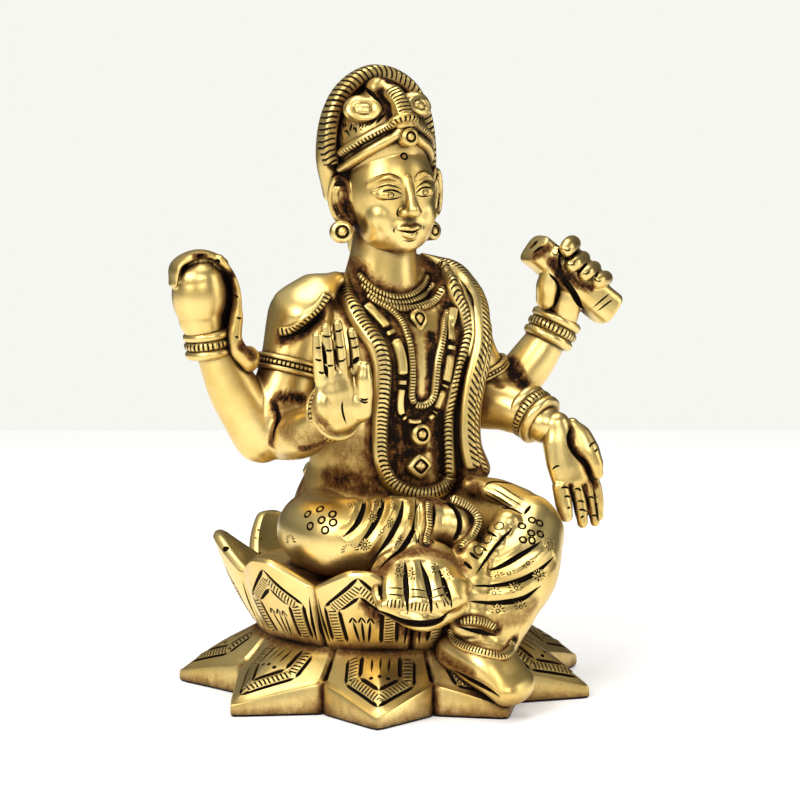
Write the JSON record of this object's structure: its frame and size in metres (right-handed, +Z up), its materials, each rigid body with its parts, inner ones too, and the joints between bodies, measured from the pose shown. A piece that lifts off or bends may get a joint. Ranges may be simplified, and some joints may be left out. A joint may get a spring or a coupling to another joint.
{
  "type": "brass idol of a seated goddess on a lotus plinth",
  "caption": "Small cast brass idol: a many-armed goddess in an arched crown, one leg folded and one foot down, seated on a flared lotus over a star-shaped petal base.",
  "frame": {"origin": "centre of the lotus plinth's flat underside", "axes": "+Z up through the crown, -Y the way the figure faces, +X its left hand side"},
  "size_m": [0.1004, 0.0872, 0.13],
  "materials": {
    "brass": "polished cast brass with dark brown patina in the recesses"
  },
  "bodies": {
    "root": {"idol": "brass"}
  },
  "joints": []
}
